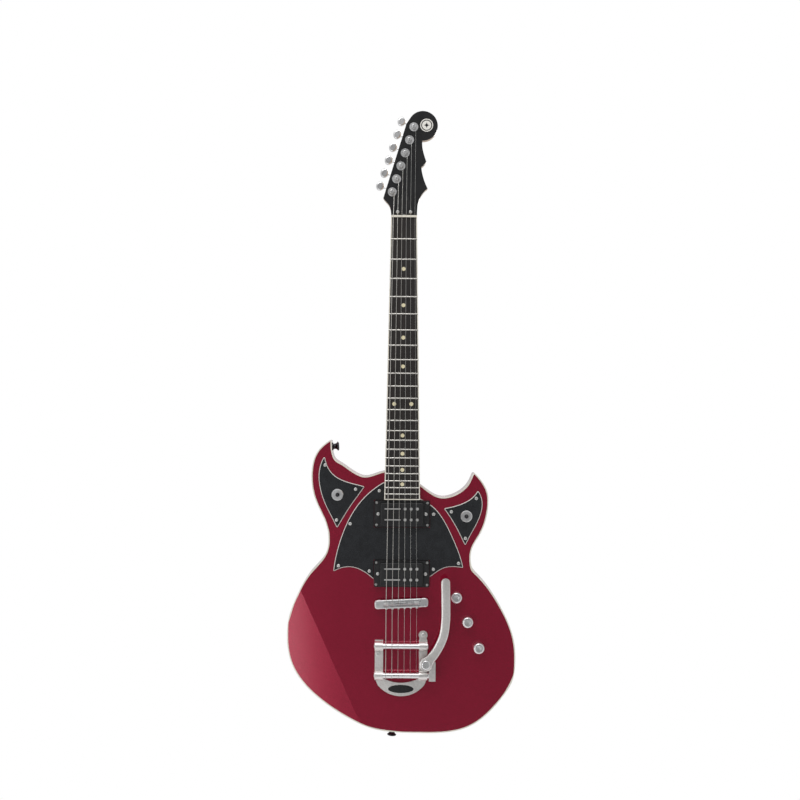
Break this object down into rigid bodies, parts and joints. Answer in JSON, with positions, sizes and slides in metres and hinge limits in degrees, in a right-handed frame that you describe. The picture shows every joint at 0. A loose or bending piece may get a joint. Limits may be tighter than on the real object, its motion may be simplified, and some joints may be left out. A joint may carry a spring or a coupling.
{
  "type": "electric guitar",
  "caption": "Two-horned electric guitar with a set neck, leaning headstock, black pickguard plates, two pickups, bridge and lever vibrato tailpiece.",
  "frame": {"origin": "centre of the nut's front edge, level with the body's flat top, where a hanger's yoke holds the neck", "axes": "+Z along the neck to the headstock, -Y out of the playing face, +X to the treble side"},
  "size_m": [0.3766, 0.0813, 1.0317],
  "materials": {
    "black_lacquer": "gloss black",
    "black_plastic": "semi-matt black",
    "black_ply": "gloss black ply with a pale core",
    "body_wood": "red lacquered wood, high gloss",
    "bone": "polished bone",
    "candy_red": "deep metallic red lacquer, high gloss",
    "cast_metal": "polished cast aluminium",
    "chrome": "mirror chrome",
    "cream_binding": "gloss cream",
    "cream_inlay": "polished cream",
    "dark_metal": "black nickel",
    "fret_metal": "polished nickel",
    "maple": "satin pale wood",
    "nickel_screw": "nickel plated",
    "rosewood": "open-pored dark wood",
    "steel": "plain steel",
    "string_steel": "nickel wound and plain steel"
  },
  "bodies": {
    "root": {"body_core": "body_wood", "body_top": "candy_red", "body_binding": "cream_binding", "back_covers": "black_plastic", "pickguard": "black_ply", "horn_guard_bass": "black_ply", "horn_guard_treble": "black_ply", "neck": "maple", "headstock_face": "black_lacquer", "headstock_emblem": "chrome", "truss_rod": "steel", "truss_rod_cover": "black_plastic", "fretboard": "rosewood", "board_binding": "cream_binding", "position_dots": "cream_inlay", "frets": "fret_metal", "nut": "bone", "pickup_rings": "black_plastic", "pickup_covers": "black_plastic", "pickup_poles": "nickel_screw", "pickup_bases": "steel", "pickup_screws": "nickel_screw", "small_screws": "nickel_screw", "bridge_body": "chrome", "bridge_saddles": "chrome", "saddle_screws": "nickel_screw", "bridge_posts": "chrome", "vibrato_frame": "cast_metal", "vibrato_badge": "black_lacquer", "vibrato_screws": "nickel_screw", "vibrato_spring": "steel", "strings": "string_steel", "potentiometers": "steel", "switch_bodies": "chrome", "output_jack": "chrome", "strap_buttons": "dark_metal", "tuner_housings": "chrome", "tuner_bushings": "chrome"},
    "tension_roller": {"tension_bar": "chrome"},
    "vibrato_rocker": {"string_bar": "chrome", "arm_bracket": "cast_metal", "arm_bolt": "chrome"},
    "vibrato_lever": {"vibrato_arm": "cast_metal"},
    "knob_volume_turn": {"knob_volume": "chrome"},
    "knob_tone_turn": {"knob_tone": "chrome"},
    "knob_contour_turn": {"knob_contour": "chrome"},
    "toggle_bass": {"switch_lever_bass": "dark_metal"},
    "toggle_treble": {"switch_lever_treble": "dark_metal"},
    "key_1": {"tuner_key_1": "chrome"},
    "post_1": {"tuner_post_1": "chrome"},
    "key_2": {"tuner_key_2": "chrome"},
    "post_2": {"tuner_post_2": "chrome"},
    "key_3": {"tuner_key_3": "chrome"},
    "post_3": {"tuner_post_3": "chrome"},
    "key_4": {"tuner_key_4": "chrome"},
    "post_4": {"tuner_post_4": "chrome"},
    "key_5": {"tuner_key_5": "chrome"},
    "post_5": {"tuner_post_5": "chrome"},
    "key_6": {"tuner_key_6": "chrome"},
    "post_6": {"tuner_post_6": "chrome"}
  },
  "joints": [
    {"name": "tension_bar_spin", "type": "hinge", "parent": "root", "child": "tension_roller", "pos_m": [0, -0.01, -0.70135], "axis": [1, 0, 0], "continuous": true},
    {"name": "vibrato_rock", "type": "hinge", "parent": "root", "child": "vibrato_rocker", "pos_m": [0, -0.012, -0.74885], "axis": [1, 0, 0], "range_deg": [-5, 7], "stiffness_Nm_per_rad": 8, "deforming": ["vibrato_spring"]},
    {"name": "arm_swing", "type": "hinge", "parent": "vibrato_rocker", "child": "vibrato_lever", "pos_m": [0.0404, -0.02, -0.72895], "axis": [0, -1, 0], "range_deg": [-100, 12]},
    {"name": "knob_volume_spin", "type": "hinge", "parent": "root", "child": "knob_volume_turn", "pos_m": [0.0901, -0.005, -0.62135], "axis": [0, -1, 0], "range_deg": [-270, 30]},
    {"name": "knob_tone_spin", "type": "hinge", "parent": "root", "child": "knob_tone_turn", "pos_m": [0.1086, -0.005, -0.66145], "axis": [0, -1, 0], "range_deg": [-270, 30]},
    {"name": "knob_contour_spin", "type": "hinge", "parent": "root", "child": "knob_contour_turn", "pos_m": [0.1272, -0.005, -0.70375], "axis": [0, -1, 0], "range_deg": [-270, 30]},
    {"name": "toggle_bass_tilt", "type": "hinge", "parent": "root", "child": "toggle_bass", "pos_m": [-0.1062, 0.003, -0.45475], "axis": [1, 0, 0], "range_deg": [-8, 8]},
    {"name": "toggle_treble_tilt", "type": "hinge", "parent": "root", "child": "toggle_treble", "pos_m": [0.1058, 0.003, -0.48875], "axis": [1, 0, 0], "range_deg": [-8, 8]},
    {"name": "key_1_turn", "type": "hinge", "parent": "root", "child": "key_1", "pos_m": [-0.018, 0.0155, 0.04813], "axis": [-0.9511, 0, 0.309], "continuous": true},
    {"name": "post_1_turn", "type": "hinge", "parent": "root", "child": "post_1", "pos_m": [-0.0197, -0.005, 0.0429], "axis": [0, -1, 0], "continuous": true},
    {"name": "key_2_turn", "type": "hinge", "parent": "root", "child": "key_2", "pos_m": [-0.01105, 0.0155, 0.06953], "axis": [-0.9511, 0, 0.309], "continuous": true},
    {"name": "post_2_turn", "type": "hinge", "parent": "root", "child": "post_2", "pos_m": [-0.01275, -0.005, 0.0643], "axis": [0, -1, 0], "continuous": true},
    {"name": "key_3_turn", "type": "hinge", "parent": "root", "child": "key_3", "pos_m": [-0.00409, 0.0155, 0.09093], "axis": [-0.9511, 0, 0.309], "continuous": true},
    {"name": "post_3_turn", "type": "hinge", "parent": "root", "child": "post_3", "pos_m": [-0.00579, -0.005, 0.0857], "axis": [0, -1, 0], "continuous": true},
    {"name": "key_4_turn", "type": "hinge", "parent": "root", "child": "key_4", "pos_m": [0.00286, 0.0155, 0.11233], "axis": [-0.9511, 0, 0.309], "continuous": true},
    {"name": "post_4_turn", "type": "hinge", "parent": "root", "child": "post_4", "pos_m": [0.00116, -0.005, 0.1071], "axis": [0, -1, 0], "continuous": true},
    {"name": "key_5_turn", "type": "hinge", "parent": "root", "child": "key_5", "pos_m": [0.00981, 0.0155, 0.13373], "axis": [-0.9511, 0, 0.309], "continuous": true},
    {"name": "post_5_turn", "type": "hinge", "parent": "root", "child": "post_5", "pos_m": [0.00811, -0.005, 0.12849], "axis": [0, -1, 0], "continuous": true},
    {"name": "key_6_turn", "type": "hinge", "parent": "root", "child": "key_6", "pos_m": [0.01676, 0.0155, 0.15513], "axis": [-0.9511, 0, 0.309], "continuous": true},
    {"name": "post_6_turn", "type": "hinge", "parent": "root", "child": "post_6", "pos_m": [0.01506, -0.005, 0.14989], "axis": [0, -1, 0], "continuous": true}
  ],
  "couplings": [
    {"joint": "post_1_turn", "follows": "key_1_turn", "ratio": 0.066667},
    {"joint": "post_2_turn", "follows": "key_2_turn", "ratio": 0.066667},
    {"joint": "post_3_turn", "follows": "key_3_turn", "ratio": 0.066667},
    {"joint": "post_4_turn", "follows": "key_4_turn", "ratio": 0.066667},
    {"joint": "post_5_turn", "follows": "key_5_turn", "ratio": 0.066667},
    {"joint": "post_6_turn", "follows": "key_6_turn", "ratio": 0.066667}
  ]
}
